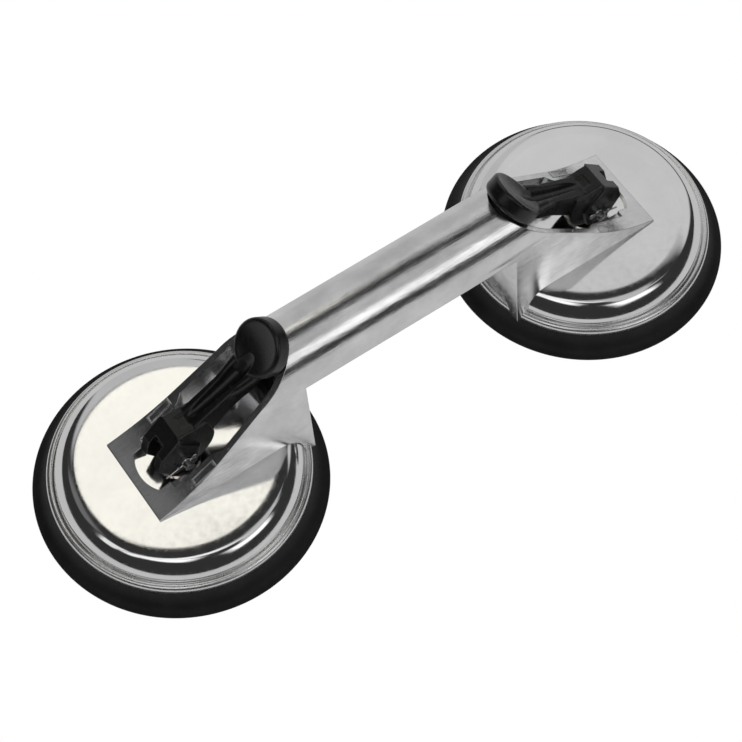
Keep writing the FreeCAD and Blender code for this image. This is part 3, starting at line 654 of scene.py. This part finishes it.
def wire(name, runs, radius):
    """Round wire through places in millimetres, one run for each list."""
    line = bpy.data.curves.new(name, "CURVE")
    line.dimensions = "3D"
    line.bevel_depth = radius * MM
    line.bevel_resolution = 4
    line.use_fill_caps = True
    for places in runs:
        run = line.splines.new("POLY")
        run.points.add(len(places) - 1)
        for point, place in zip(run.points, places):
            point.co = (*(Vector(place) * MM), 1)
    thing = bpy.data.objects.new(name, line)
    scene.collection.objects.link(thing)
    return thing


WIRE_RADIUS = 0.42
EYE_RADIUS = 1.15
EYE_PLACE = (3.9, 1.1)
PIN_END = 7.75


def split_pin(side):
    """Split pin through the end of the cross pin: an eye, a long leg and a leg bent aside."""
    way = 1 if side == "left" else -1
    across = -PIN_END * way
    ring = arc(EYE_PLACE, EYE_RADIUS, 30, 330, 16)
    eye = [on_lever(side, reach, across, rise) for reach, rise in ring]
    long_leg = [eye[0], on_lever(side, 2.4, across, 0.75), on_lever(side, -9.6, across, -3.2)]
    short_leg = [
        on_lever(side, 2.9, across, 0.5),
        on_lever(side, -2.7, across, -1.3),
        on_lever(side, -3.9, across - way * 0.4, -0.7),
        on_lever(side, -4.4, across - way * 0.6, 0.9),
    ]
    return wire(f"{side}_split_pin", [eye, long_leg, short_leg], WIRE_RADIUS)


for side in CUPS:
    dress(moulded_lever(side), f"{side}_lever_unit", "black_plastic", f"{side}_lever")
    dress(split_pin(side), f"{side}_lever_unit", "bright_steel", f"{side}_pin_clip")


# ---------------------------------------------------------------- light, floor and camera

scene.view_settings.view_transform = "Standard"
FLOOR_REACH = 9
FLOOR_IN_METAL = 0.56
ROOM_IN_METAL = 0.03


def sheet(name, half_wide, half_tall, shader):
    """A flat sheet of the studio, which is no part of the object."""
    corners = [
        (-half_wide, -half_tall, 0), (half_wide, -half_tall, 0),
        (half_wide, half_tall, 0), (-half_wide, half_tall, 0),
    ]
    mesh = bpy.data.meshes.new(name)
    mesh.from_pydata(corners, [], [(0, 1, 2, 3)])
    thing = bpy.data.objects.new(name, mesh)
    scene.collection.objects.link(thing)
    coat(thing, shader.material)
    thing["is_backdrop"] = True
    return thing


def floor_paper():
    """White paper for the camera, evenly lit paper in the metal, and nothing from below."""
    paper = Shader("floor_paper")
    lit = paper.either(paper.camera_ray(), paper.glow(FLOOR_IN_METAL), paper.glow())
    under = paper.add("ShaderNodeNewGeometry").outputs["Backfacing"]
    paper.show(paper.either(under, lit, paper.clear()))
    return paper


def light_room():
    """A dim room in the metal, and a white one for the camera."""
    world = bpy.data.worlds.new("studio")
    world.use_nodes = True
    scene.world = world
    nodes, links = world.node_tree.nodes, world.node_tree.links
    dim = nodes["Background"]
    white = nodes.new("ShaderNodeBackground")
    for background, strength in ((dim, ROOM_IN_METAL), (white, 1)):
        background.inputs["Color"].default_value = (1, 1, 1, 1)
        background.inputs["Strength"].default_value = strength
    choose = nodes.new("ShaderNodeMixShader")
    camera_ray = nodes.new("ShaderNodeLightPath").outputs["Is Camera Ray"]
    links.new(camera_ray, choose.inputs["Fac"])
    links.new(dim.outputs["Background"], choose.inputs[1])
    links.new(white.outputs["Background"], choose.inputs[2])
    links.new(choose.outputs["Shader"], nodes["World Output"].inputs["Surface"])


def card(name, middle, aim, width, height, tone, tint=(1, 1, 1), soft=0.25):
    """A lit sheet that faces a point, fades out towards its edges and is seen only in the metal."""
    shader = Shader(name)
    split = shader.add("ShaderNodeSeparateXYZ")
    shader.link(shader.place, split.inputs["Vector"])
    fades = []
    for axis, half in (("X", width / 2), ("Y", height / 2)):
        distance = shader.calc("ABSOLUTE", split.outputs[axis])
        fades.append(shader.span(distance, 1, 0, half * (1 - soft), half))
    unseen = shader.span(shader.camera_ray(), 1, 0, 0, 1)
    strength = shader.calc("MULTIPLY", shader.calc("MULTIPLY", *fades), unseen)
    shader.show(shader.either(strength, shader.clear(), shader.glow(tone, tint)))
    thing = sheet(name, width / 2, height / 2, shader)
    thing.location = middle
    thing.rotation_euler = (Vector(aim) - Vector(middle)).to_track_quat("Z", "Y").to_euler()


def ceiling(name, low, high, height, tone, tint=(1, 1, 1), soft=0.25):
    """A level sheet above the object."""
    middle = ((low[0] + high[0]) / 2, (low[1] + high[1]) / 2, height)
    below = (middle[0], middle[1], 0)
    card(name, middle, below, high[0] - low[0], high[1] - low[1], tone, tint, soft)


def around(name, tilt, turn, wide, tall, tone, soft=0.3, reach=1.25):
    """A sheet at an angle from the zenith and an azimuth, with its size given as angles."""
    lean, spin = math.radians(tilt), math.radians(turn)
    level = math.sin(lean)
    toward = (level * math.cos(spin), level * math.sin(spin), math.cos(lean))
    middle = [reach * part for part in toward]
    size = [2 * reach * math.tan(math.radians(angle / 2)) for angle in (wide, tall)]
    card(name, middle, (0, 0, 0), size[0], size[1], tone, (1, 1, 1), soft)


sheet("floor", FLOOR_REACH, FLOOR_REACH, floor_paper())
light_room()
ceiling("cream_sheet", (-0.11, 0.325), (0.27, 0.64), 1.0, 1.09, (1.0, 0.975, 0.89), 0.12)
ceiling("grey_sheet", (0.38, 0.30), (0.76, 0.62), 1.0, 0.62, (1, 1, 1), 0.2)
ceiling("west_sheet", (-1.60, -0.10), (-0.62, 0.26), 1.0, 0.85)
ceiling("front_left_sheet", (-1.30, -0.34), (0.17, -0.08), 1.0, 1.0, (1, 1, 1), 0.3)
ceiling("front_right_sheet", (0.10, -0.78), (0.56, -0.02), 1.0, 0.52, (1, 1, 1), 0.2)
around("north_east_panel", 56, 40, 76, 52, 0.60, 0.25)
around("north_panel", 62, 78, 42, 64, 0.50, 0.25)
around("south_panel", 51, 288, 40, 28, 1.25, 0.45)
around("south_west_panel", 33, 216, 34, 24, 1.2, 0.5)
around("south_upper_panel", 15, 262, 76, 9, 1.0, 0.45)
around("west_low_panel", 36, 134, 26, 20, 0.16, 0.4)

# the camera fitted to the outlines of both cups
CAMERA_PLACE = (-0.249689, -0.342154, 0.775144)
CAMERA_TURN = (28.27091, -0.29252, -34.64859)
camera = bpy.data.cameras.new("camera")
camera.sensor_width = 36
camera.lens = 102.688
camera_thing = bpy.data.objects.new("camera", camera)
scene.collection.objects.link(camera_thing)
camera_thing.location = CAMERA_PLACE
camera_thing.rotation_euler = [math.radians(angle) for angle in CAMERA_TURN]
scene.camera = camera_thing

sizes.update(note_bounds("built"))
